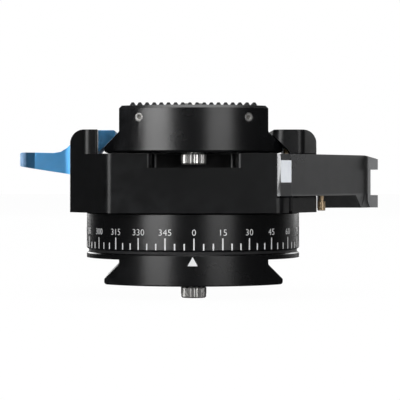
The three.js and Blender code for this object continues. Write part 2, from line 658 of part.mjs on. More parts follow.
function slidingJawBody() {
  const low = zFloor + clearance.swing;
  const back = post.inner;
  const [lip, undercut] = hookInner(1, back);
  const section = outline([
    [back, low], [base.halfWidth, low], [base.halfWidth, zPostTop, post.round],
    [lipX, zPostTop, jaw.topCorner], lip, undercut,
  ], 12);
  const plan = wallPlan(1, lipX, jaw.lead);
  const hook = common(prismZ(plan, low, zPostTop), prismY(section, -post.halfDepth, post.halfDepth));
  const legHalf = slot.halfWidth - clearance.slide;
  const leg = box([legInner, -legHalf, zFloor - jaw.legDrop], [base.halfWidth, legHalf, low + overrun]);
  const bores = springPlaces(guidePin).map((y) =>
    rodX(guidePin.radius + clearance.running, legInner - overrun, base.halfWidth + overrun, y, zGuide));
  const pinRoom = rodZ(plunger.pocket, zFloor, zFloor + plunger.rise + plunger.headroom, plunger.x,
    plunger.y, 20);
  return cut(join(hook, leg), ...bores, pinRoom);
}

function plungerBody() {
  const { radius, rise, length } = plunger;
  const top = zFloor + rise;
  const dome = Array.from({ length: 4 }, (_, i) => {
    const angle = (i * Math.PI) / 6;
    return [radius * Math.cos(angle), top - radius + radius * Math.sin(angle)];
  });
  const profile = [[0, top - length], [radius, top - length], ...dome];
  return placed(turned(profile.map(([r, z]) => [Math.max(r, 0), z]), 14), plunger.x, plunger.y, 0);
}

// Lock lever

function leverPlan() {
  const { hub, face, web, start, endFacet, length, flare, tipDepth } = lever;
  const facetTurn = radians(lever.endFacetLean - lever.lean);
  const flareTurn = radians(lever.flareLean - lever.lean);
  const endStart = [-start - endFacet * Math.cos(facetTurn), -face - endFacet * Math.sin(facetTurn)];
  const flareEnd = [length + flare * Math.cos(flareTurn), -face + flare * Math.sin(flareTurn)];
  const tipEnd = [flareEnd[0] + tipDepth * Math.sin(-flareTurn),
    flareEnd[1] + tipDepth * Math.cos(flareTurn)];
  const webInner = web - face;
  const fromAngle = Math.asin(webInner / hub);
  const toAngle = Math.atan2(endStart[1], endStart[0]) + 2 * Math.PI;
  const arcSteps = 16;
  const hubArc = Array.from({ length: arcSteps + 1 }, (_, i) => {
    const angle = fromAngle + ((toAngle - fromAngle) * i) / arcSteps;
    return [hub * Math.cos(angle), hub * Math.sin(angle)];
  });
  return {
    plan: outline([...hubArc, [-start, -face], [length, -face], flareEnd, tipEnd, [length, webInner, web]]),
    flareEnd, tipEnd, webInner,
  };
}

// The inner edge of the flanges, which keeps clear of the clamp's side and of the jaw in it.
function flangePlan(fromX, tipEnd, webInner) {
  const slope = Math.tan(radians(90 - lever.lean));
  const sideX = (base.halfWidth + 2 * clearance.slide - lever.pivotX) / Math.cos(radians(lever.lean));
  const edge = (x) => (x - sideX) * slope;
  const innerY = Math.min(lever.flangeReach + webInner, edge(lever.length));
  const start = Math.max(fromX, sideX + webInner / slope);
  return outline([
    [start, -lever.face], [lever.length, -lever.face], tipEnd, [lever.length - lever.web, innerY],
    [sideX + innerY / slope, innerY], [start, Math.max(edge(start), webInner)],
  ]);
}

// The lip that leans outwards under the lever's face and down over the skirt.
function lowerLip(zSkirt) {
  const { start, length, face, lip, bevel, flareLean, lean } = lever;
  const top = zLever + bevel;
  const section = outline([[lip - face, top], [-face, top], [-face - lip, zSkirt], [lip - face, zSkirt]]);
  const bar = prismY(section, -length - lever.flare, start + lever.endFacet).rotateZ(Math.PI / 2);
  const reach = length + lip / Math.tan(radians(lean - flareLean));
  const corners = [[length, -face], [length, lip - face]];
  const shortPlan = outline([[-start, lip - face], [-start, -face - lip], [reach, -face - lip],
    ...corners]);
  const skirtPlan = outline([
    [lever.skirtStart, lip - face], [lever.skirtStart, -face - lip], [reach, -face - lip], ...corners,
  ]);
  return common(bar, join(prismZ(shortPlan, zLever, top), prismZ(skirtPlan, zSkirt, top)));
}

function lockLeverBody() {
  const { plan, flareEnd, tipEnd, webInner } = leverPlan();
  const blank = prismZ(plan, zLever, zLeverTop);
  const topFlange = prismZ(flangePlan(0, tipEnd, webInner), zLeverTop - lever.flange, zLeverTop);
  const bottomFlange = prismZ(flangePlan(0, tipEnd, webInner), zLever, zLever + lever.flange);
  const zSkirt = zLever - lever.skirt;
  const skirtTip = outline([
    [lever.skirtStart, -lever.face], [lever.length, -lever.face], flareEnd, tipEnd,
    [lever.length, webInner],
    [lever.skirtStart, webInner],
  ]);
  const skirt = join(prismZ(skirtTip, zSkirt, zLever + overrun),
    prismZ(flangePlan(lever.skirtStart, tipEnd, webInner), zSkirt, zLever + overrun));
  const body = join(blank, topFlange, bottomFlange, skirt, lowerLip(zSkirt));
  const far = lever.length + lever.flare;
  const scoopCut = turned([
    [0, zSkirt], [scoop.bottomRadius, zSkirt], [scoop.topRadius, zLever], [0, zLever],
  ], 64).translate(scoop.x, scoop.y, 0);
  const notchTop = zLever + tipNotch.top;
  const tipCut = box([tipNotch.start, -far, zLever], [far + overrun, far, notchTop]);
  const tipSlope = new THREE.Shape([
    new THREE.Vector2(lever.length, zLeverTop),
    new THREE.Vector2(flareEnd[0] + lever.tipDepth, zLeverTop - 2 * tipNotch.slopeDrop),
    new THREE.Vector2(flareEnd[0] + lever.tipDepth, zLeverTop + overrun),
    new THREE.Vector2(lever.length, zLeverTop + overrun),
  ]);
  const counterbore = rodZ(shoulderScrew.headRadius + clearance.swing,
    zLeverTop - clearance.swing - shoulderScrew.headHeight - clearance.running, zLeverTop + overrun,
    0, 0, 24);
  const bore = rodZ(shoulderScrew.radius + clearance.running, zLever - overrun, zLeverTop, 0, 0, 24);
  const rollerSeat = rodZ(roller.neck + clearance.running, zLever - overrun, zLever + roller.seat, roller.x,
    roller.y, 14);
  const tipSlopeCut = prismY(tipSlope, -far, far);
  return placedLever(cut(body, scoopCut, tipCut, tipSlopeCut, counterbore, bore, rollerSeat));
}

function rollerBody() {
  const low = zLever - roller.drop;
  const edge = clearance.running;
  const { radius, neck } = roller;
  const top = zLever + roller.seat - clearance.running;
  const pin = turned([
    [0, low], [radius - edge, low], [radius, low + edge], [radius, low + roller.head],
    [neck, low + roller.head],
    [neck, top], [0, top],
  ], 18);
  return placedLever(placed(pin, roller.x, roller.y, 0));
}

// Camera plate

function plateSection() {
  const { topChamfer } = plate;
  const neck = dovetail.neck / 2;
  return dovetailOutline(zPlate, zPlateTop, 0, [
    [neck, zPlateTop - topChamfer], [neck - topChamfer, zPlateTop],
  ]);
}

const zWellRoof = zPlateTop - pad.sink - screwWell.roof;
const zSnap = zPlate + snapRing.lip;
const ringOuter = screwWell.radius + snapRing.groove - clearance.running;

function plateBody() {
  const r = discRadius;
  const { topChamfer, bottomChamfer } = plate;
  const blank = turned([
    [0, zPlate], [r - bottomChamfer, zPlate], [r, zPlate + bottomChamfer], [r, zPlateTop - topChamfer],
    [r - topChamfer, zPlateTop], [0, zPlateTop],
  ], discSides);
  const body = common(blank, prismY(plateSection(), -r - overrun, r + overrun));
  const padPocket = prismZ(padPlan(clearance.seat), zPlateTop - pad.sink, zPlateTop + overrun);
  const well = rodZ(screwWell.radius, zPlate - overrun, zWellRoof, 0, 0, 32);
  const groove = rodZ(ringOuter + clearance.running, zSnap, zSnap + snapRing.thickness + clearance.running,
    0, 0, 32);
  const shankBore = rodZ(camScrew.radius + clearance.running, zPlate, zPlateTop + overrun, 0, 0, 28);
  const stopHoles = stopScrewPlaces().map((y) =>
    rodZ(stopScrew.shankRadius + clearance.running, zPlate - overrun,
      zPlate + stopScrew.shankLength + clearance.slide, 0, y, 16));
  const grubHoles = grubPlaces(grub.radius + clearance.running,
    r - grub.sink - grub.length - clearance.swing, r + overrun);
  return cut(body, padPocket, well, groove, shankBore, ...stopHoles, ...grubHoles);
}

function padPlan(grow) {
  const x = pad.width / 2 + grow;
  const y = pad.depth / 2 + grow;
  return outline([[x, -y, pad.corner], [x, y, pad.corner], [-x, y, pad.corner], [-x, -y, pad.corner]]);
}

// Radial rods for the two set screws in the plate's front edge.
function grubPlaces(radius, from, to) {
  return [-1, 1].map((side) =>
    rodY(radius, -to, -from, 0, zPlateTop - grub.drop, 16).rotateZ(side * radians(grub.angle)));
}

function grubBodies() {
  const outer = discRadius - grub.sink;
  const sockets = [-1, 1].map((side) =>
    new THREE.CylinderGeometry(grub.socket, grub.socket, grub.socketDepth + overrun, 6)
      .translate(0, -outer + (grub.socketDepth - overrun) / 2, zPlateTop - grub.drop)
      .rotateZ(side * radians(grub.angle)));
  return grubPlaces(grub.radius, outer - grub.length, outer).map((rod, i) => cut(rod, sockets[i]));
}

function padBody() {
  const pitch = pad.width / pad.ridges;
  const low = zPlateTop - pad.sink + clearance.seat;
  const valley = zPadTop - pad.ridgeHeight;
  const half = pad.width / 2;
  const crests = Array.from({ length: pad.ridges }, (_, i) => [
    [half - (i + 0.5) * pitch + pad.crest / 2, zPadTop],
    [half - (i + 0.5) * pitch - pad.crest / 2, zPadTop],
    [half - (i + 1) * pitch, valley],
  ]).flat();
  const section = outline([[-half, low], [half, low], [half, valley], ...crests]);
  const ridged = prismY(section, -pad.depth / 2, pad.depth / 2);
  const bore = rodZ(pad.bore, low - overrun, zPadTop + overrun, 0, 0, 28);
  return cut(common(ridged, prismZ(padPlan(0), low - overrun, zPadTop + overrun)), bore);
}

const zScrewHead = zSnap + snapRing.thickness + clearance.running;
const zScrewTop = zPadTop + camScrew.stickOut;

function cameraScrewBody() {
  const { radius, headRadius, headHeight, tipRadius, tipChamfer } = camScrew;
  const shoulder = zScrewHead + headHeight;
  const body = turned([
    [0, zScrewHead], [headRadius, zScrewHead], [headRadius, shoulder], [radius, shoulder],
    [radius, zScrewTop - tipChamfer], [tipRadius, zScrewTop], [0, zScrewTop],
  ], 28);
  const slotCut = box(
    [-headRadius - overrun, -screwWell.slotWidth / 2, zScrewHead - overrun],
    [headRadius + overrun, screwWell.slotWidth / 2, zScrewHead + screwWell.slotDepth],
  );
  return cut(body, slotCut);
}

function snapRingBody() {
  const whole = ring(ringOuter - snapRing.width, ringOuter, zSnap + clearance.seat,
    zSnap + snapRing.thickness, 32);
  const opening = box([-snapRing.gap / 2, 0, zPlate - overrun], [snapRing.gap / 2, ringOuter + overrun,
    zScrewHead]);
  return cut(whole, opening);
}

function addClampParts() {
  addPart('release_lever', releaseLeverBody(), finish.blue);
  addPart('sliding_jaw', slidingJawBody(), finish.black);
  addPart('jaw_plunger', plungerBody(), finish.brass);
  addPart('lock_lever', lockLeverBody(), finish.grey);
  addPart('lever_roller', rollerBody(), finish.brass);
}

function addPlate() {
  addPart('quick_release_plate', plateBody(), finish.black);
  addPart('grip_pad', padBody(), finish.rubber);
  grubBodies().forEach((body, i) => addPart(`plate_set_screw_${i + 1}`, body, finish.steel));
  addPart('screw_snap_ring', snapRingBody(), finish.darkSteel);
  const washerLow = zScrewHead + camScrew.headHeight + clearance.seat;
  const washerInner = camScrew.radius + clearance.running;
  addPart('camera_screw_washer',
    ring(washerInner, washerInner + screwWasher.width, washerLow, washerLow + screwWasher.thickness, 28),
      finish.nylon);
  addPart('camera_screw', cameraScrewBody(), finish.steel);
  addPart('plate_stop_screw_front', placed(stopScrewBody(), 0, -stopScrew.y, zPlate - clearance.swing),
    finish.steel);
  addPart('plate_stop_screw_rear', placed(stopScrewBody(), 0, stopScrew.y, zPlate - clearance.swing),
    finish.steel);
}

// Pan lock

const knobStart = baseHalfDepth + 2 * clearance.slide;

function knobBody() {
  const { radius, length, flutes, fluteRadius, collarRadius, collar, chamfer } = knob;
  const seat = discRadius - stud.spotDepth + clearance.slide;
  const start = Math.max(knobStart, seat + collar);
  const profile = [
    [stud.radius + clearance.seat, seat], [collarRadius, seat], [collarRadius, start],
    [radius - chamfer, start],
    [radius, start + chamfer], [radius, start + length - chamfer], [radius - chamfer, start + length],
    [0, start + length],
    [0, start + stud.grip], [stud.radius + clearance.seat, start + stud.grip],
  ];
  const grip = turned(profile, 30);
  const fluteCuts = Array.from({ length: flutes }, (_, i) => {
    const angle = (i * 2 * Math.PI) / flutes;
    const away = radius + fluteRadius * hexSocketShare;
    return rodZ(fluteRadius, start - overrun, start + length + overrun, away * Math.cos(angle),
      away * Math.sin(angle), 10);
  });
  return placed(cut(grip, ...fluteCuts), 0, 0, 0).rotateX(-Math.PI / 2).translate(0, 0, zStud);
}

function addPanLock() {
  const shoeFrom = spindle.postRadius + stud.shoeGap;
  const shoeTo = shoeFrom + stud.shoeLength;
  const seat = discRadius - stud.spotDepth + clearance.slide;
  const start = Math.max(knobStart, seat + knob.collar);
  addPart('brake_shoe', rodY(stud.radius, shoeFrom, shoeTo, 0, zStud, 20), finish.bronze);
  addPart('pan_lock_stud',
    rodY(stud.radius, shoeTo + clearance.seat, start + stud.grip - clearance.seat, 0, zStud, 20),
      finish.steel);
  addPart('pan_lock_knob', knobBody(), finish.black);
}

addFoot();
addTurntable();
addClampParts();
addPlate();
addPanLock();

export default head;
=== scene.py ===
"""Dresses the panoramic tripod head in its finishes and sets it in a plain studio.

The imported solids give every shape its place. Each sub-assembly below rounds the edges of its
solids, adds the figures, knurls and threads that they leave out, and gives every surface its
own finish. All lengths are in metres unless a name ends in mm.
"""

import logging
import math
from collections.abc import Callable, Iterable, Sequence
from dataclasses import dataclass
from enum import Enum

import bpy
from mathutils import Matrix, Vector


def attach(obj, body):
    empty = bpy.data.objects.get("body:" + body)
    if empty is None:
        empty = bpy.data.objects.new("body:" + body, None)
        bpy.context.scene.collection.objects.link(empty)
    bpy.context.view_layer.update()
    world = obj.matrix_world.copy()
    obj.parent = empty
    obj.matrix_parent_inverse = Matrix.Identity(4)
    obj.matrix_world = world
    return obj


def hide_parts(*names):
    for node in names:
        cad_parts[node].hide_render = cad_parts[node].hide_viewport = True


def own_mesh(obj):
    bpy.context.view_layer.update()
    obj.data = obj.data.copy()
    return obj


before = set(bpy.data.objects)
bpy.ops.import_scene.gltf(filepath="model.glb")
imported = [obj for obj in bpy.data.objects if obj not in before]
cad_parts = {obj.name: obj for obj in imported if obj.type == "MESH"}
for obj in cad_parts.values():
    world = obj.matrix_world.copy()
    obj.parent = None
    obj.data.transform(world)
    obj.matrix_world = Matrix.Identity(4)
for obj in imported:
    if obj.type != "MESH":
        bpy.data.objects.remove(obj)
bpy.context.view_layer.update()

LOG = logging.getLogger("tripod_head")
Colour = tuple[float, float, float]
Triple = tuple[float, float, float]

MM = 0.001
UP = Vector((0.0, 0.0, 1.0))
ORIGIN = (0.0, 0.0, 0.0)
FULL_TURN = 360
DISC_RADIUS_MM = 23.3
MERGE_DISTANCE = 0.000002
FLAT_DEGREES = 0.4
ROUNDED_FROM_DEGREES = 25.0
ROUNDING_STRIPS = 2
EDGE_CREASE_DEGREES = 40.0
THREAD_CREASE_DEGREES = 32.0

# How nearly a face looks along a direction, as the cosine of the angle between them
FACING = 0.99

# A triangle in a circle of radius 1
TRIANGLE_SIDES = 3
TRIANGLE_HEIGHT = 1.5
TRIANGLE_WIDTH = math.sqrt(3.0)


class Chosen(Enum):
    """What is chosen on a piece that is to be edited."""

    FACES = "FACE"
    EDGES = "EDGE"


class Carving(Enum):
    """What a second body does to a piece."""

    CUT = "DIFFERENCE"
    ADD = "UNION"


# Finishes

def add_node(tree: bpy.types.NodeTree, kind: str, values: dict[str | int, object] | None = None,
             **settings: object) -> bpy.types.Node:
    """Adds one node to a tree.

    Args:
        tree: The tree that it goes into.
        kind: The node's type.
        values: The values of its inputs, by name or place.
        settings: The node's settings.

    Returns:
        The node.
    """
    node = tree.nodes.new(kind)
    for name, setting in settings.items():
        setattr(node, name, setting)
    for key, value in (values or {}).items():
        node.inputs[key].default_value = value
    return node


def link(tree: bpy.types.NodeTree,
         *pairs: tuple[bpy.types.NodeSocket, bpy.types.NodeSocket]) -> None:
    """Links outputs to inputs, pair by pair."""
    for start, end in pairs:
        tree.links.new(start, end)


class NodeGroups:
    """The effects that all finishes share, each built once."""

    def __init__(self) -> None:
        """Builds the groups for grain, edge wear with a painted edge highlight, and handling."""
        self.grain = self._grain()
        self.wear = self._wear()
        self.smudge = self._smudge()

    @staticmethod
    def _group(name: str, inputs: Sequence[str],
               output: str) -> tuple[bpy.types.NodeTree, bpy.types.Node, bpy.types.Node]:
        """Starts a group that turns coordinates and numbers into one number.

        Args:
            name: The group's name.
            inputs: The names of its number inputs.
            output: The name of its output.

        Returns:
            The group, its input node and its output node.
        """
        tree = bpy.data.node_groups.new(name, "ShaderNodeTree")
        sockets = tree.interface
        sockets.new_socket(name="Coordinates", in_out="INPUT", socket_type="NodeSocketVector")
        for label in inputs:
            sockets.new_socket(name=label, in_out="INPUT", socket_type="NodeSocketFloat")
        sockets.new_socket(name=output, in_out="OUTPUT", socket_type="NodeSocketFloat")
        return tree, add_node(tree, "NodeGroupInput"), add_node(tree, "NodeGroupOutput")

    def _grain(self) -> bpy.types.NodeTree:
        """Builds the fine grain that blasting, turning or moulding leaves.

        Returns:
            A group that turns coordinates into a height between 0 and 1.
        """
        tree, start, end = self._group("fine_grain", ["Fineness"], "Height")
        noise = add_node(tree, "ShaderNodeTexNoise", {"Detail": 3.0, "Roughness": 0.6})
        link(tree,
             (start.outputs["Coordinates"], noise.inputs["Vector"]),
             (start.outputs["Fineness"], noise.inputs["Scale"]),
             (noise.outputs["Fac"], end.inputs["Height"]))
        return tree

    def _wear(self) -> bpy.types.NodeTree:
        """Builds the wear along edges, where handling has rubbed a finish thin; it also lightens
        every sharp edge as a painted highlight.

        Returns:
            A group whose output mask is 1 on rubbed, lightened edges and 0 on faces.
        """
        tree, start, end = self._group("edge_wear_and_highlight", ["Amount"], "Mask")
        shape = add_node(tree, "ShaderNodeNewGeometry")
        edge = add_node(tree, "ShaderNodeMapRange", {"From Min": 0.52, "From Max": 0.6})
        patches = add_node(tree, "ShaderNodeTexNoise", {"Scale": 420.0, "Detail": 4.0})
        broken = add_node(tree, "ShaderNodeMapRange", {"From Min": 0.35, "From Max": 0.65})
        both = add_node(tree, "ShaderNodeMath", operation="MULTIPLY")
        scaled = add_node(tree, "ShaderNodeMath", operation="MULTIPLY", use_clamp=True)
        link(tree,
             (shape.outputs["Pointiness"], edge.inputs["Value"]),
             (start.outputs["Coordinates"], patches.inputs["Vector"]),
             (patches.outputs["Fac"], broken.inputs["Value"]),
             (edge.outputs["Result"], both.inputs[0]),
             (broken.outputs["Result"], both.inputs[1]),
             (both.outputs["Value"], scaled.inputs[0]),
             (start.outputs["Amount"], scaled.inputs[1]),
             (scaled.outputs["Value"], end.inputs["Mask"]))
        return tree

    def _smudge(self) -> bpy.types.NodeTree:
        """Builds the soft unevenness that fingers and cloths leave in a surface's gloss.

        Returns:
            A group that puts out a roughness around the one it is given.
        """
        tree, start, end = self._group("handled_gloss", ["Roughness", "Spread"], "Roughness")
        clouds = add_node(tree, "ShaderNodeTexNoise", {"Scale": 130.0, "Detail": 5.0})
        centred = add_node(tree, "ShaderNodeMath", {1: 0.5}, operation="SUBTRACT")
        spread = add_node(tree, "ShaderNodeMath", operation="MULTIPLY_ADD", use_clamp=True)
        link(tree,
             (start.outputs["Coordinates"], clouds.inputs["Vector"]),
             (clouds.outputs["Fac"], centred.inputs[0]),
             (centred.outputs["Value"], spread.inputs[0]),
             (start.outputs["Spread"], spread.inputs[1]),
             (start.outputs["Roughness"], spread.inputs[2]),
             (spread.outputs["Value"], end.inputs["Roughness"]))
        return tree


@dataclass(frozen=True)
class Finish:
    """One surface finish: its colours, gloss, grain, and edge wear with a painted edge highlight.

    The fineness of the grain and of the clouds in the colour is how many of them fill a metre.
    """

    name: str
    slot: str
    colour: Colour
    # The worn colour and the wear amount lighten sharp edges, as edge wear and as a painted edge
    # highlight
    worn: Colour
    metallic: float = 0.0
    roughness: float = 0.4
    spread: float = 0.1
    specular: float = 0.5
    grain_fineness: float = 9000.0
    grain_depth: float = 0.00001
    stretch: Triple = (1.0, 1.0, 1.0)
    wear: float = 0.3
    tint: float = 0.12
    cloud_fineness: float = 260.0

    def build(self, groups: NodeGroups) -> bpy.types.Material:
        """Builds the finish as a material.

        Args:
            groups: The shared node groups.

        Returns:
            The new material.
        """
        material = bpy.data.materials.new(self.name)
        material.use_nodes = True
        tree = material.node_tree
        shader = tree.nodes["Principled BSDF"]
        shader.inputs["Metallic"].default_value = self.metallic
        shader.inputs["Specular IOR Level"].default_value = self.specular
        place = add_node(tree, "ShaderNodeTexCoord").outputs["Object"]
        gloss = add_node(tree, "ShaderNodeGroup",
                         {"Roughness": self.roughness, "Spread": self.spread},
                         node_tree=groups.smudge)
        along = add_node(tree, "ShaderNodeMapping", {"Scale": self.stretch})
        grain = add_node(tree, "ShaderNodeGroup", {"Fineness": self.grain_fineness},
                         node_tree=groups.grain)
        bump = add_node(tree, "ShaderNodeBump", {"Distance": self.grain_depth})
        link(tree,
             (place, gloss.inputs["Coordinates"]),
             (gloss.outputs["Roughness"], shader.inputs["Roughness"]),
             (place, along.inputs["Vector"]),
             (along.outputs["Vector"], grain.inputs["Coordinates"]),
             (grain.outputs["Height"], bump.inputs["Height"]),
             (bump.outputs["Normal"], shader.inputs["Normal"]))
        self._colour(tree, groups, shader, place)
        return material

    def _colour(self, tree: bpy.types.NodeTree, groups: NodeGroups, shader: bpy.types.Node,
                place: bpy.types.NodeSocket) -> None:
        """Mixes the finish's colour with its cloudiness and its worn edges, which also serve as a
        painted edge highlight.

        Args:
            tree: The material's nodes.
            groups: The shared node groups.
            shader: The material's shader.
            place: The output that gives coordinates.
        """
        dark = [part * (1.0 - self.tint) for part in self.colour]
        light = [min(1.0, part * (1.0 + self.tint)) for part in self.colour]
        clouds = add_node(tree, "ShaderNodeTexNoise",
                          {"Scale": self.cloud_fineness, "Detail": 4.0})
        shade = add_node(tree, "ShaderNodeMix", {"A": (*dark, 1.0), "B": (*light, 1.0)},
                         data_type="RGBA")
        # Edge wear that also paints a highlight on every sharp edge
        wear = add_node(tree, "ShaderNodeGroup", {"Amount": self.wear}, node_tree=groups.wear)
        mixed = add_node(tree, "ShaderNodeMix", {"B": (*self.worn, 1.0)}, data_type="RGBA")
        link(tree,
             (place, clouds.inputs["Vector"]),
             (place, wear.inputs["Coordinates"]),
             (clouds.outputs["Fac"], shade.inputs["Factor"]),
             (shade.outputs["Result"], mixed.inputs["A"]),
             (wear.outputs["Mask"], mixed.inputs["Factor"]),
             (mixed.outputs["Result"], shader.inputs["Base Color"]))


BLACK = Finish(
    "black_anodising", "black_anodised", (0.0034, 0.0036, 0.0042), (0.03, 0.031, 0.034),
    roughness=0.32, specular=0.6, grain_depth=0.000008)
BLACK_TURNED = Finish(
    "black_anodising_turned", "black_anodised", (0.0034, 0.0036, 0.0042), (0.03, 0.031, 0.034),
    roughness=0.26, specular=0.8, stretch=(0.02, 0.02, 1.0), grain_fineness=14000.0,
    grain_depth=0.000003)
GREY = Finish(
    "grey_anodising", "grey_anodised", (0.21, 0.212, 0.215), (0.3, 0.3, 0.3),
    metallic=0.9, roughness=0.29, grain_depth=0.000006, wear=0.25)
# Painted reflection: a near-white patch that stands in for the left softbox's reflection on the
# lock lever's hub end
PAINTED_REFLECTION = Finish(
    "painted_reflection_lever_end", "grey_anodised", (0.84, 0.87, 0.93), (0.9, 0.9, 0.9),
    metallic=0.1, roughness=0.3, grain_depth=0.0, wear=0.0)
BLUE = Finish(
    "blue_anodising", "blue_anodised", (0.13, 0.47, 0.93), (0.4, 0.6, 0.75),
    metallic=0.88, roughness=0.38, grain_depth=0.00003, wear=0.2)
STEEL = Finish(
    "bright_steel_turned", "bright_steel", (0.66, 0.65, 0.63), (0.8, 0.8, 0.8),
    metallic=0.75, roughness=0.28, grain_depth=0.000004, wear=0.2)
DARK_STEEL = Finish(
    "blackened_steel", "dark_steel", (0.03, 0.03, 0.033), (0.2, 0.2, 0.2),
    metallic=0.8, roughness=0.38, wear=0.5)
BRASS = Finish(
    "turned_brass", "brass", (0.78, 0.58, 0.36), (0.85, 0.66, 0.4),
    metallic=0.6, roughness=0.3, grain_depth=0.000004, wear=0.2)
BRONZE = Finish(
    "bearing_bronze", "bronze", (0.42, 0.24, 0.09), (0.6, 0.4, 0.2),
    metallic=1.0, roughness=0.38, wear=0.2)
RUBBER = Finish(
    "ribbed_rubber", "rubber", (0.04, 0.04, 0.042), (0.09, 0.09, 0.09),
    roughness=0.75, specular=0.3, grain_fineness=5000.0, grain_depth=0.00002)
NYLON = Finish(
    "dark_nylon", "nylon", (0.02, 0.02, 0.022), (0.05, 0.05, 0.05),
    roughness=0.55)
FIGURES = Finish(
    "white_figure_paint", "black_anodised", (0.93, 0.93, 0.93), (0.95, 0.95, 0.95),
    roughness=0.6, wear=0.0, tint=0.05)


class Palette:
    """Holds the built materials by finish."""

    def __init__(self) -> None:
        """Starts with the shared node groups and no material."""
        self._groups = NodeGroups()
        self._made: dict[str, bpy.types.Material] = {}

    def _material(self, finish: Finish) -> bpy.types.Material:
        """Gives a finish's material, built when it is first asked for.

        Args:
            finish: The finish.

        Returns:
            The material that every piece in this finish shares.
        """
        if finish.name not in self._made:
            self._made[finish.name] = finish.build(self._groups)
        return self._made[finish.name]

    def dress(self, piece: bpy.types.Object, *finishes: Finish) -> None:
        """Puts finishes on a piece, in the order of its material slots.

        Args:
            piece: The piece to dress.
            finishes: One finish for each slot.
        """
        piece.data.materials.clear()
        for finish in finishes:
            piece.data.materials.append(self._material(finish))

    def dress_solids(self, finish: Finish, *nodes: str) -> None:
        """Puts one finish on solids that show as they are.

        Args:
            finish: The finish.
            nodes: The solids.
        """
        for node in nodes:
            self.dress(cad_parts[node], finish)
            LOG.info("%s shows as it is in %s", node, finish.name)


# Modelling steps

def focus(piece: bpy.types.Object) -> None:
    """Makes one piece the only selected and the active one, out of edit mode.

    Args:
        piece: The piece to work on.
    """
    if bpy.context.mode != "OBJECT":
        bpy.ops.object.mode_set(mode="OBJECT")
    bpy.ops.object.select_all(action="DESELECT")
    piece.select_set(True)
    bpy.context.view_layer.objects.active = piece


def settle(piece: bpy.types.Object) -> None:
    """Moves a piece's place into its mesh, so that its object stands at the origin."""
    focus(piece)
    bpy.ops.object.transform_apply(location=True, rotation=True, scale=True)


def apply_modifier(piece: bpy.types.Object, kind: str, **settings: object) -> None:
    """Adds a modifier with the given settings and applies it.

    Args:
        piece: The piece to change.
        kind: The modifier's type.
        settings: The modifier's settings.
    """
    focus(piece)
    modifier = piece.modifiers.new(kind.lower(), kind)
    for name, value in settings.items():
        setattr(modifier, name, value)
    bpy.ops.object.modifier_apply(modifier=modifier.name)


def smooth(piece: bpy.types.Object, degrees: float) -> None:
    """Shades a piece smooth, with its edges past an angle kept sharp."""
    focus(piece)
    bpy.ops.object.shade_smooth_by_angle(angle=math.radians(degrees))


def join(pieces: Sequence[bpy.types.Object], name: str) -> bpy.types.Object:
    """Joins several pieces into one.

    Args:
        pieces: The pieces to join.
        name: The name of the joined piece.

    Returns:
        The joined piece.
    """
    focus(pieces[0])
    for piece in pieces:
        piece.select_set(True)
    bpy.ops.object.join()
    pieces[0].name = name
    return pieces[0]


def select(piece: bpy.types.Object, kind: Chosen, wanted: Callable[[object], bool]) -> None:
    """Opens a piece for editing with only the wanted faces or edges selected.

    Args:
        piece: The piece to edit.
        kind: Whether faces or edges are chosen.
        wanted: Tells of a face, or of an edge's two ends, whether it is selected.
    """
    focus(piece)
    bpy.ops.object.mode_set(mode="EDIT")
    bpy.ops.mesh.select_mode(type=kind.value)
    bpy.ops.mesh.select_all(action="DESELECT")
    bpy.ops.object.mode_set(mode="OBJECT")
    corners = piece.data.vertices
    if kind is Chosen.FACES:
        for face in piece.data.polygons:
            face.select = wanted(face)
    else:
        for edge in piece.data.edges:
            edge.select = wanted([corners[index].co for index in edge.vertices])
    bpy.ops.object.mode_set(mode="EDIT")


def done() -> None:
    """Closes the piece that is being edited, with its faces turned outwards."""
    bpy.ops.mesh.select_all(action="SELECT")
    bpy.ops.mesh.normals_make_consistent(inside=False)
    bpy.ops.object.mode_set(mode="OBJECT")


def carve(piece: bpy.types.Object, body: bpy.types.Object, how: Carving = Carving.CUT) -> None:
    """Cuts one body out of a piece, or adds it to the piece, and removes that body.

    Args:
        piece: The piece to change.
        body: The second body.
        how: Whether the body is cut out or added.
    """
    apply_modifier(piece, "BOOLEAN", operation=how.value, solver="EXACT", object=body)
    bpy.data.objects.remove(body)


def corners_of(node: str) -> tuple[Vector, Vector]:
    """Gives the lowest and the highest corner of a solid's box."""
    places = [tuple(vertex.co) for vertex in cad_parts[node].data.vertices]
    return Vector(map(min, zip(*places))), Vector(map(max, zip(*places)))


def finish_edges(piece: bpy.types.Object, width_mm: float) -> None:
    """Rounds a piece's sharp edges and shades it smooth between flat faces.

    Args:
        piece: The piece to round.
        width_mm: The width of the rounding.
    """
    apply_modifier(piece, "BEVEL", width=width_mm * MM, segments=ROUNDING_STRIPS,
                   limit_method="ANGLE", angle_limit=math.radians(ROUNDED_FROM_DEGREES),
                   use_clamp_overlap=True)
    smooth(piece, EDGE_CREASE_DEGREES)
    apply_modifier(piece, "WEIGHTED_NORMAL", keep_sharp=True, mode="FACE_AREA_WITH_ANGLE")


def copied_solid(node: str) -> bpy.types.Object:
    """Copies a solid and joins the facets of its flat faces.

    Args:
        node: The solid.

    Returns:
        The copy, which is not rounded yet.
    """
    piece = bpy.data.objects.new(f"{node}_finished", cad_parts[node].data.copy())
    bpy.context.scene.collection.objects.link(piece)
    focus(piece)
    bpy.ops.object.mode_set(mode="EDIT")
    bpy.ops.mesh.select_all(action="SELECT")
    bpy.ops.mesh.remove_doubles(threshold=MERGE_DISTANCE)
    bpy.ops.mesh.dissolve_limited(angle_limit=math.radians(FLAT_DEGREES))
    bpy.ops.object.mode_set(mode="OBJECT")
    return piece


def rounded_copy(node: str, width_mm: float) -> bpy.types.Object:
    """Copies a solid and rounds its sharp edges.

    Args:
        node: The solid.
        width_mm: The width of the rounding.

    Returns:
        The rounded piece.
    """
    piece = copied_solid(node)
    finish_edges(piece, width_mm)
    return piece


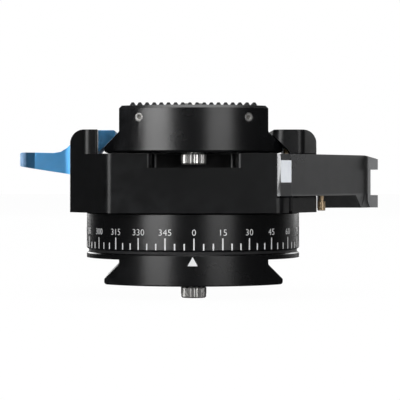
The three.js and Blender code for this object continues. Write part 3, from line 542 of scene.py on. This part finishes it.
@dataclass(frozen=True)
class Thread:
    """The three-sided groove of a screw thread, wound about the vertical axis."""

    root_mm: float
    open_mm: float
    pitch_mm: float
    low_mm: float
    high_mm: float
    width_share: float = 0.54
    steps: int = 28

    def groove(self) -> bpy.types.Object:
        """Builds the groove.

        Returns:
            The groove as a closed body.
        """
        bpy.ops.mesh.primitive_circle_add(vertices=TRIANGLE_SIDES, radius=1.0)
        groove = bpy.context.object
        lean = (self.root_mm - self.open_mm) / TRIANGLE_HEIGHT
        groove.data.transform(Matrix((
            (0.0, lean * MM, 0.0, (self.root_mm - lean) * MM),
            (0.0, 0.0, 1.0, 0.0),
            (self.pitch_mm * self.width_share * MM, 0.0, 0.0, self.low_mm * MM),
            (0.0, 0.0, 0.0, 1.0),
        )))
        turns = max(1, round((self.high_mm - self.low_mm) / self.pitch_mm))
        apply_modifier(groove, "SCREW", axis="Z", angle=2.0 * math.pi, iterations=turns,
                       screw_offset=self.pitch_mm * MM, steps=self.steps, render_steps=self.steps)
        focus(groove)
        bpy.ops.object.mode_set(mode="EDIT")
        bpy.ops.mesh.select_all(action="SELECT")
        bpy.ops.mesh.fill_holes(sides=TRIANGLE_SIDES)
        done()
        return groove


# Sub-assemblies

@dataclass
class Assembly:
    """A sub-assembly of the head, with the palette that dresses it."""

    palette: Palette

    def place(self, piece: bpy.types.Object, body: str, *finishes: Finish,
              stands_for: Iterable[str] = ()) -> None:
        """Dresses a piece, lets it ride on its body and logs it.

        Args:
            piece: The finished piece.
            body: The body that it moves with.
            finishes: Its finishes, in the order of its slots.
            stands_for: The solids that it replaces.
        """
        self.palette.dress(piece, *finishes)
        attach(piece, body)
        for node in stands_for:
            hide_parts(node)
        LOG.info("%s rides on %s in %s", piece.name, body, finishes[0].name)

    def rounded(self, node: str, body: str, finish: Finish, width_mm: float) -> None:
        """Rounds a solid's edges and lets the rounded piece stand for it.

        Args:
            node: The solid.
            body: The body that it moves with.
            finish: Its finish.
            width_mm: The width of the rounding.
        """
        self.place(rounded_copy(node, width_mm), body, finish, stands_for=[node])


@dataclass
class Foot(Assembly):
    """The dovetail foot with its index mark and its insert, and the spindle in it."""

    edge_mm: float = 0.18
    insert_edge_mm: float = 0.15
    thread: Thread = Thread(root_mm=4.72, open_mm=4.2, pitch_mm=1.5875, low_mm=-0.4, high_mm=5.4)
    mark_width_mm: float = 2.15
    mark_low_mm: float = 4.28
    mark_high_mm: float = 6.2
    mark_depth_mm: float = 0.3
    mark_lift_mm: float = 0.03
    mark_rounding_mm: float = 0.03
    mark_turn_degrees: float = -0.7

    def build(self) -> None:
        """Builds the foot's pieces."""
        self.rounded("foot_dovetail", "foot", BLACK_TURNED, self.edge_mm)
        insert = rounded_copy("foot_thread_insert", self.insert_edge_mm)
        carve(insert, self.thread.groove())
        smooth(insert, THREAD_CREASE_DEGREES)
        self.place(insert, "foot", STEEL, stands_for=["foot_thread_insert"])
        self.palette.dress_solids(STEEL, "spindle", "thrust_washer", "spring_washer")
        self.palette.dress_solids(DARK_STEEL, "spindle_lock_nut", "spindle_screw_1",
                                  "spindle_screw_2", "spindle_screw_3")
        self.palette.dress_solids(NYLON, "glide_ring")
        self._index_mark()

    def _index_mark(self) -> None:
        """Builds the white triangle that the dial is read against."""
        height = self.mark_high_mm - self.mark_low_mm
        middle = DISC_RADIUS_MM + self.mark_lift_mm - self.mark_depth_mm / 2.0
        bpy.ops.mesh.primitive_cylinder_add(
            vertices=TRIANGLE_SIDES, radius=MM, depth=self.mark_depth_mm * MM,
            location=(0.0, -middle * MM, (self.mark_low_mm + height / 3.0) * MM),
            rotation=(math.pi / 2.0, 0.0, 0.0),
            scale=(self.mark_width_mm / TRIANGLE_WIDTH, height / TRIANGLE_HEIGHT, 1.0))
        mark = bpy.context.object
        settle(mark)
        mark.name = "index_mark"
        mark.data.transform(Matrix.Rotation(math.radians(self.mark_turn_degrees), 4, UP))
        apply_modifier(mark, "BEVEL", width=self.mark_rounding_mm * MM, segments=1)
        self.place(mark, "foot", FIGURES)


@dataclass
class Dial(Assembly):
    """The drum with its degree ticks and numbers."""

    edge_mm: float = 0.16
    tick_step: int = 5
    long_step: int = 15
    tick_low_mm: float = 7.54
    long_tick_mm: float = 2.53
    short_tick_mm: float = 1.4
    tick_width_mm: float = 0.32
    tick_depth_mm: float = 0.2
    tick_rounding_mm: float = 0.05
    digit_low_mm: float = 10.6
    digit_height_mm: float = 1.34
    digit_height_share: float = 0.7
    digit_depth_mm: float = 0.05
    digit_thinning_mm: float = 0.015
    digit_spacing: float = 1.06
    digit_curve_steps: int = 3
    relief_mm: float = 0.02

    def build(self) -> None:
        """Builds the drum, its bush and all its marks."""
        self.rounded("dial_drum", "turntable", BLACK_TURNED, self.edge_mm)
        self.palette.dress_solids(BRONZE, "pan_bush")
        ticks = [self._tick(degrees) for degrees in range(0, FULL_TURN, self.tick_step)]
        ring = join(ticks, "dial_ticks")
        apply_modifier(ring, "BEVEL", width=self.tick_rounding_mm * MM, segments=1)
        self.place(ring, "turntable", FIGURES)
        numbers = [self._number(degrees) for degrees in range(0, FULL_TURN, self.long_step)]
        self.place(join(numbers, "dial_numbers"), "turntable", FIGURES)

    def _tick(self, degrees: int) -> bpy.types.Object:
        """Builds one tick on the drum.

        Args:
            degrees: The reading that the tick marks.

        Returns:
            The tick.
        """
        height = self.short_tick_mm if degrees % self.long_step else self.long_tick_mm
        middle = DISC_RADIUS_MM + self.relief_mm - self.tick_depth_mm / 2.0
        bpy.ops.mesh.primitive_cube_add(
            size=1.0, location=(0.0, -middle * MM, (self.tick_low_mm + height / 2.0) * MM),
            scale=(self.tick_width_mm * MM, self.tick_depth_mm * MM, height * MM))
        tick = bpy.context.object
        settle(tick)
        tick.data.transform(Matrix.Rotation(math.radians(degrees), 4, UP))
        return tick

    def _number(self, degrees: int) -> bpy.types.Object:
        """Builds one number and wraps it round the drum.

        Args:
            degrees: The number.

        Returns:
            The number's mesh.
        """
        bpy.ops.object.text_add(location=ORIGIN)
        text = bpy.context.object
        text.data.body = str(degrees)
        text.data.align_x = "CENTER"
        text.data.size = self.digit_height_mm * MM / self.digit_height_share
        text.data.extrude = self.digit_depth_mm * MM
        text.data.offset = -self.digit_thinning_mm * MM
        text.data.space_character = self.digit_spacing
        text.data.resolution_u = self.digit_curve_steps
        focus(text)
        bpy.ops.object.convert(target="MESH")
        number = bpy.context.object
        outer = (DISC_RADIUS_MM + self.relief_mm) * MM
        front = max(vertex.co.z for vertex in number.data.vertices)
        for vertex in number.data.vertices:
            across, up, out = vertex.co
            angle = math.radians(degrees) + across / outer
            radius = outer + out - front
            vertex.co = Vector((radius * math.sin(angle), -radius * math.cos(angle),
                                self.digit_low_mm * MM + up))
        return number


@dataclass
class Clamp(Assembly):
    """The clamp's base, its two levers, its sliding jaw and their small parts."""

    base_edge_mm: float = 0.22
    jaw_edge_mm: float = 0.16
    release_edge_mm: float = 0.34
    lock_edge_mm: float = 0.16
    roller_edge_mm: float = 0.1
    plunger_edge_mm: float = 0.05
    tip_corner_mm: tuple[float, float] = (38.2, 3.23)
    tip_reach_mm: float = 0.1
    tip_rounding_mm: float = 0.7
    tip_strips: int = 4
    # The heights between which the lock lever's hub end carries the painted reflection
    patch_mm: tuple[float, float] = (21.7, 26.3)
    hub_end_mm: tuple[float, float] = (18.0, 20.2)
    release_seat_mm: float = 16.85
    release_travel_mm: float = 0.7
    plunger_seat_mm: float = 21.3
    plunger_travel_mm: float = 1.0

    def build(self) -> None:
        """Builds the clamp's pieces."""
        self.rounded("clamp_base", "turntable", BLACK, self.base_edge_mm)
        self.rounded("sliding_jaw", "jaw_body", BLACK, self.jaw_edge_mm)
        self._release_lever()
        self._lock_lever()
        self.rounded("lever_roller", "lock_lever_body", BRASS, self.roller_edge_mm)
        self.rounded("jaw_plunger", "plunger_body", BRASS, self.plunger_edge_mm)
        self.palette.dress_solids(DARK_STEEL, "base_screw_1", "base_screw_2", "base_screw_3",
                                  "base_screw_4", "lever_shoulder_screw")
        self.palette.dress_solids(STEEL, "release_pivot_pin", "jaw_guide_pin_1", "jaw_guide_pin_2",
                                  "release_spring_1", "release_spring_2", "jaw_spring_1",
                                  "jaw_spring_2", "plunger_spring")
        for spring in ("release_spring_1", "release_spring_2"):
            self._soften(spring, "release_lever_tilt", self.release_seat_mm, self.release_travel_mm)
        self._soften("plunger_spring", "plunger_press", self.plunger_seat_mm,
                     self.plunger_travel_mm)

    def _soften(self, node: str, joint: str, seat_mm: float, travel_mm: float) -> None:
        """Gives a spring its own copy of its mesh.

        Args:
            node: The spring.
            joint: The joint of the piece that presses on it. Not used.
            seat_mm: The height at which the spring stands. Not used.
            travel_mm: How far its top end comes down. Not used.
        """
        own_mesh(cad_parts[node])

    def _release_lever(self) -> None:
        """Builds the blue lever, which the black side beside it does not mirror."""
        lever = rounded_copy("release_lever", self.release_edge_mm)
        self.place(lever, "release_lever_body", BLUE, stands_for=["release_lever"])
        lever.visible_glossy = False

    def _lock_lever(self) -> None:
        """Builds the grey lever, with a rounded corner at its tip and a painted reflection patch at
        its hub.
        """
        lever = copied_solid("lock_lever")
        select(lever, Chosen.EDGES, self._at_tip_corner)
        bpy.ops.mesh.bevel(offset=self.tip_rounding_mm * MM, segments=self.tip_strips,
                           affect="EDGES")
        done()
        finish_edges(lever, self.lock_edge_mm)
        for height in self.patch_mm:
            select(lever, Chosen.FACES, self._on_hub_end)
            bpy.ops.mesh.bisect(plane_co=(0.0, 0.0, height * MM), plane_no=UP)
            bpy.ops.object.mode_set(mode="OBJECT")
        # The second finish is the painted reflection on the middle of the hub end
        self.place(lever, "lock_lever_body", GREY, PAINTED_REFLECTION, stands_for=["lock_lever"])
        self._flatten_hub_end(lever)

    def _flatten_hub_end(self, lever: bpy.types.Object) -> None:
        """Shades the flat at the hub's end as a flat and paints a near-white reflection on its
        middle.

        Args:
            lever: The lock lever.
        """
        low, high = (height * MM for height in self.patch_mm)
        normals = [corner.vector.copy() for corner in lever.data.corner_normals]
        for face in filter(self._on_hub_end, lever.data.polygons):
            face.material_index = int(low < face.center.z < high)
            for corner in face.loop_indices:
                normals[corner] = face.normal.copy()
        lever.data.normals_split_custom_set(normals)

    def _at_tip_corner(self, ends: Sequence[Vector]) -> bool:
        """Tells whether an edge stands at the outer corner of the lock lever's tip."""
        corner = Vector(self.tip_corner_mm) * MM
        return all((end.xy - corner).length < self.tip_reach_mm * MM for end in ends)

    def _on_hub_end(self, face: bpy.types.MeshPolygon) -> bool:
        """Tells whether a face of the lock lever is the flat at the end of its hub."""
        left, right = (edge * MM for edge in self.hub_end_mm)
        return face.normal.y < -FACING and left < face.center.x < right


@dataclass
class CameraPlate(Assembly):
    """The camera plate with its ribbed pad, its set screws and its captive screw."""

    plate_edge_mm: float = 0.18
    pad_edge_mm: float = 0.12
    screw_edge_mm: float = 0.12
    set_screw_edge_mm: float = 0.08
    thread: Thread = Thread(root_mm=2.72, open_mm=3.24, pitch_mm=1.27, low_mm=32.2, high_mm=40.0)

    def build(self) -> None:
        """Builds the plate's pieces."""
        self.rounded("quick_release_plate", "camera_plate", BLACK_TURNED, self.plate_edge_mm)
        self.rounded("grip_pad", "camera_plate", RUBBER, self.pad_edge_mm)
        screw = rounded_copy("camera_screw", self.screw_edge_mm)
        carve(screw, self.thread.groove())
        smooth(screw, THREAD_CREASE_DEGREES)
        self.place(screw, "camera_screw_body", STEEL, stands_for=["camera_screw"])
        for node in ("plate_set_screw_1", "plate_set_screw_2"):
            self.rounded(node, "camera_plate", STEEL, self.set_screw_edge_mm)
        self.palette.dress_solids(DARK_STEEL, "screw_snap_ring")
        self.palette.dress_solids(NYLON, "camera_screw_washer")


@dataclass
class StopScrews(Assembly):
    """The four knurled stop screws of foot and plate, modelled once and copied."""

    head_radius_mm: float = 2.68
    head_mm: float = 2.35
    flank_edges: int = 60
    knurl_mm: float = 0.16
    rim_mm: float = 0.28
    rim_share: float = 0.9
    shank_radius_mm: float = 1.4
    shank_mm: float = 4.3
    shank_edges: int = 40
    shank_sink_mm: float = 0.3
    tip_mm: float = 0.3
    tip_share: float = 0.8
    pitch_mm: float = 0.6
    thread_depth_mm: float = 0.24
    thread_overrun_mm: float = 0.06
    thread_start_mm: float = 0.5
    slot_mm: float = 0.6
    slot_depth_mm: float = 0.8
    slot_length_mm: float = 8.0
    slot_overrun_mm: float = 0.01
    crease_degrees: float = 28.0

    def build(self) -> None:
        """Builds one screw and puts a copy in each of the four places."""
        screw = self._screw()
        for carrier in ("foot", "plate"):
            for side in ("front", "rear"):
                node = f"{carrier}_stop_screw_{side}"
                self.place(self._copy(screw, node), f"{carrier}_screw_{side}", STEEL,
                           stands_for=[node])
        bpy.data.objects.remove(screw)

    def _copy(self, screw: bpy.types.Object, node: str) -> bpy.types.Object:
        """Copies the screw to the place of a solid.

        Args:
            screw: The screw.
            node: The solid.

        Returns:
            The copy, with its own mesh.
        """
        low, high = corners_of(node)
        middle = (low + high) / 2.0
        copy = screw.copy()
        copy.data = screw.data.copy()
        copy.name = f"{node}_knurled"
        bpy.context.scene.collection.objects.link(copy)
        copy.data.transform(Matrix.Translation((middle.x, middle.y, low.z + self.head_mm * MM)))
        return copy

    def _screw(self) -> bpy.types.Object:
        """Builds one screw with the top of its head at the origin.

        Returns:
            The screw, pointing up, with its slot below.
        """
        screw = self._head()
        carve(screw, self._shank(), Carving.ADD)
        bpy.ops.mesh.primitive_cube_add(
            size=1.0, location=(0.0, 0.0, -(self.head_mm - self.slot_depth_mm / 2.0) * MM),
            scale=(self.slot_length_mm * MM, self.slot_mm * MM,
                   (self.slot_depth_mm + self.slot_overrun_mm) * MM))
        slot = bpy.context.object
        settle(slot)
        carve(screw, slot)
        smooth(screw, self.crease_degrees)
        return screw

    def _shank(self) -> bpy.types.Object:
        """Builds the threaded shank with its narrower tip.

        Returns:
            The shank, which starts inside the head.
        """
        bpy.ops.mesh.primitive_cylinder_add(
            vertices=self.shank_edges, radius=self.shank_radius_mm * MM, depth=self.shank_mm * MM,
            location=(0.0, 0.0, (self.shank_mm / 2.0 - self.shank_sink_mm) * MM))
        shank = bpy.context.object
        settle(shank)
        select(shank, Chosen.FACES, lambda face: face.normal.z > FACING)
        self._extrude(self.tip_mm, self.tip_share)
        done()
        thread = Thread(root_mm=self.shank_radius_mm - self.thread_depth_mm,
                        open_mm=self.shank_radius_mm + self.thread_overrun_mm,
                        pitch_mm=self.pitch_mm, low_mm=self.thread_start_mm,
                        high_mm=self.shank_mm)
        carve(shank, thread.groove())
        return shank

    def _head(self) -> bpy.types.Object:
        """Builds the knurled head.

        Returns:
            The head, from its lower rim up to the origin.
        """
        bpy.ops.mesh.primitive_cylinder_add(
            vertices=self.flank_edges, radius=self.head_radius_mm * MM,
            depth=(self.head_mm - 2.0 * self.rim_mm) * MM,
            location=(0.0, 0.0, -self.head_mm / 2.0 * MM))
        head = bpy.context.object
        settle(head)
        select(head, Chosen.EDGES, self._in_hollow)
        share = 1.0 - self.knurl_mm / self.head_radius_mm
        bpy.ops.transform.resize(value=(share, share, 1.0), center_override=ORIGIN)
        for side in (-1.0, 1.0):
            select(head, Chosen.FACES, lambda face, side=side: face.normal.z * side > FACING)
            self._extrude(side * self.rim_mm, self.rim_share)
        done()
        return head

    def _in_hollow(self, ends: Sequence[Vector]) -> bool:
        """Tells whether an edge of the head is the bottom of a gap between two teeth.

        Args:
            ends: The edge's two ends.

        Returns:
            True for every second upright edge.
        """
        step = 2.0 * math.pi / self.flank_edges
        upright = abs(ends[0].z - ends[1].z) > self.rim_mm * MM
        return upright and round(math.atan2(ends[0].y, ends[0].x) / step) % 2 == 1

    @staticmethod
    def _extrude(rise_mm: float, share: float) -> None:
        """Extrudes the selected end of a turned piece and narrows it.

        Args:
            rise_mm: How far the end rises, or sinks where it is negative.
            share: The share of its radius that it keeps.
        """
        rise = (0.0, 0.0, rise_mm * MM)
        bpy.ops.mesh.extrude_region_move(TRANSFORM_OT_translate={"value": rise})
        bpy.ops.transform.resize(value=(share, share, 1.0), center_override=ORIGIN)


@dataclass
class PanLock(Assembly):
    """The pan lock's knob, stud and shoe."""

    knob_edge_mm: float = 0.2

    def build(self) -> None:
        """Builds the pan lock."""
        self.rounded("pan_lock_knob", "pan_lock_body", BLACK, self.knob_edge_mm)
        self.palette.dress_solids(STEEL, "pan_lock_stud")
        self.palette.dress_solids(BRONZE, "brake_shoe")


# Studio

@dataclass(frozen=True)
class Lamp:
    """One soft rectangular lamp: its name, place, size and power in watts."""

    name: str
    place: Triple
    size: tuple[float, float]
    power: float

    def hang(self, target: Vector) -> None:
        """Hangs the lamp and aims it at a point.

        Args:
            target: The point.
        """
        data = bpy.data.lights.new(self.name, "AREA")
        data.shape = "RECTANGLE"
        data.size, data.size_y = self.size
        data.energy = self.power
        lamp = bpy.data.objects.new(self.name, data)
        bpy.context.scene.collection.objects.link(lamp)
        lamp.location = self.place
        lamp.rotation_euler = (target - Vector(self.place)).to_track_quat("-Z", "Y").to_euler()


LAMPS = (
    Lamp("left_softbox", (-0.6, -0.74, 0.06), (0.5, 0.5), 3.9),
    Lamp("right_softbox", (0.446, -0.84, 0.06), (0.45, 0.5), 1.6),
    Lamp("front_overhead", (0.0, -0.62, 0.8), (0.9, 0.5), 4.2),
    Lamp("overhead", (0.0, 0.0, 1.0), (0.8, 0.8), 5.0),
    Lamp("rear_left_strip", (-0.38, 0.86, 0.25), (0.3, 0.5), 1.3),
    Lamp("rear_right_strip", (0.5, 0.8, 0.25), (0.3, 0.5), 1.2),
)


@dataclass
class Studio:
    """The floor, the pale surround, the lamps and the camera."""

    eye_mm: Triple = (-3.63, -423.0, 22.2)
    eye_turn_degrees: float = -0.7
    lens: float = 173.25
    sensor: float = 36.0
    shift_y: float = -0.05
    clip: tuple[float, float] = (0.01, 20.0)
    lamp_target: Triple = (0.0, 0.0, 0.02)
    surround_from: tuple[float, float] = (0.5, 0.9)
    surround_to: tuple[float, float] = (0.03, 1.25)
    right_bias: float = 0.18
    floor_mm: float = -2.9
    floor_size: float = 6.0
    floor_colour: Colour = (0.75, 0.75, 0.76)
    floor_white: float = 1.01
    floor_white_share: float = 0.97
    floor_gloss: float = 0.03

    def build(self) -> None:
        """Sets up the studio."""
        scene = bpy.context.scene
        scene.view_settings.view_transform = "Standard"
        self._camera(scene)
        self._world(scene)
        self._floor()
        for lamp in LAMPS:
            lamp.hang(Vector(self.lamp_target))

    def _camera(self, scene: bpy.types.Scene) -> None:
        """Puts the camera where the photograph was taken from.

        Args:
            scene: The scene that it films.
        """
        data = bpy.data.cameras.new("camera")
        data.lens = self.lens
        data.sensor_width = self.sensor
        data.shift_y = self.shift_y
        data.clip_start, data.clip_end = self.clip
        camera = bpy.data.objects.new("camera", data)
        scene.collection.objects.link(camera)
        camera.location = [value * MM for value in self.eye_mm]
        camera.rotation_euler = (math.pi / 2.0, 0.0, math.radians(self.eye_turn_degrees))
        scene.camera = camera

    def _world(self, scene: bpy.types.Scene) -> None:
        """Makes the surround white to the camera and graded for everything else.

        Args:
            scene: The scene that it surrounds.
        """
        world = bpy.data.worlds.new("surround")
        world.use_nodes = True
        tree = world.node_tree
        tree.nodes.clear()
        out = add_node(tree, "ShaderNodeOutputWorld")
        seen = add_node(tree, "ShaderNodeBackground", {"Color": (1.0, 1.0, 1.0, 1.0)})
        lit = add_node(tree, "ShaderNodeBackground")
        place = add_node(tree, "ShaderNodeTexCoord")
        split = add_node(tree, "ShaderNodeSeparateXYZ")
        aside = add_node(tree, "ShaderNodeMath", {1: self.right_bias}, operation="MULTIPLY_ADD")
        behind = add_node(
            tree, "ShaderNodeMapRange",
            {"From Min": self.surround_from[0], "From Max": self.surround_from[1],
             "To Min": self.surround_to[0], "To Max": self.surround_to[1]},
            interpolation_type="SMOOTHSTEP")
        path = add_node(tree, "ShaderNodeLightPath")
        mix = add_node(tree, "ShaderNodeMixShader")
        link(tree,
             (place.outputs["Generated"], split.inputs["Vector"]),
             (split.outputs["X"], aside.inputs[0]),
             (split.outputs["Y"], aside.inputs[2]),
             (aside.outputs["Value"], behind.inputs["Value"]),
             (behind.outputs["Result"], lit.inputs["Strength"]),
             (path.outputs["Is Camera Ray"], mix.inputs["Fac"]),
             (lit.outputs["Background"], mix.inputs[1]),
             (seen.outputs["Background"], mix.inputs[2]),
             (mix.outputs["Shader"], out.inputs["Surface"]))
        scene.world = world

    def _floor(self) -> None:
        """Lays the floor, white to the camera apart from the soft shadow."""
        bpy.ops.mesh.primitive_plane_add(size=self.floor_size,
                                         location=(0.0, 0.0, self.floor_mm * MM))
        floor = bpy.context.object
        floor.name = "studio_floor"
        material = bpy.data.materials.new("pale_floor")
        material.use_nodes = True
        tree = material.node_tree
        tree.nodes.clear()
        out = add_node(tree, "ShaderNodeOutputMaterial")
        matt = add_node(tree, "ShaderNodeBsdfDiffuse", {"Color": (*self.floor_colour, 1.0)})
        glow = add_node(tree, "ShaderNodeEmission", {"Strength": self.floor_white})
        path = add_node(tree, "ShaderNodeLightPath")
        share = add_node(tree, "ShaderNodeMath", {1: self.floor_white_share}, operation="MULTIPLY")
        mix = add_node(tree, "ShaderNodeMixShader")
        dim = add_node(tree, "ShaderNodeEmission", {"Strength": self.floor_gloss})
        mirrored = add_node(tree, "ShaderNodeMixShader")
        link(tree,
             (path.outputs["Is Camera Ray"], share.inputs[0]),
             (share.outputs["Value"], mix.inputs["Fac"]),
             (matt.outputs["BSDF"], mix.inputs[1]),
             (glow.outputs["Emission"], mix.inputs[2]),
             (path.outputs["Is Glossy Ray"], mirrored.inputs["Fac"]),
             (mix.outputs["Shader"], mirrored.inputs[1]),
             (dim.outputs["Emission"], mirrored.inputs[2]),
             (mirrored.outputs["Shader"], out.inputs["Surface"]))
        floor.data.materials.append(material)


def main() -> None:
    """Builds the head and its studio in order."""
    logging.basicConfig(level=logging.INFO, format="%(message)s")
    palette = Palette()
    for assembly in (Foot, Dial, Clamp, CameraPlate, StopScrews, PanLock):
        assembly(palette).build()
    Studio().build()


if __name__ == "__main__":
    main()
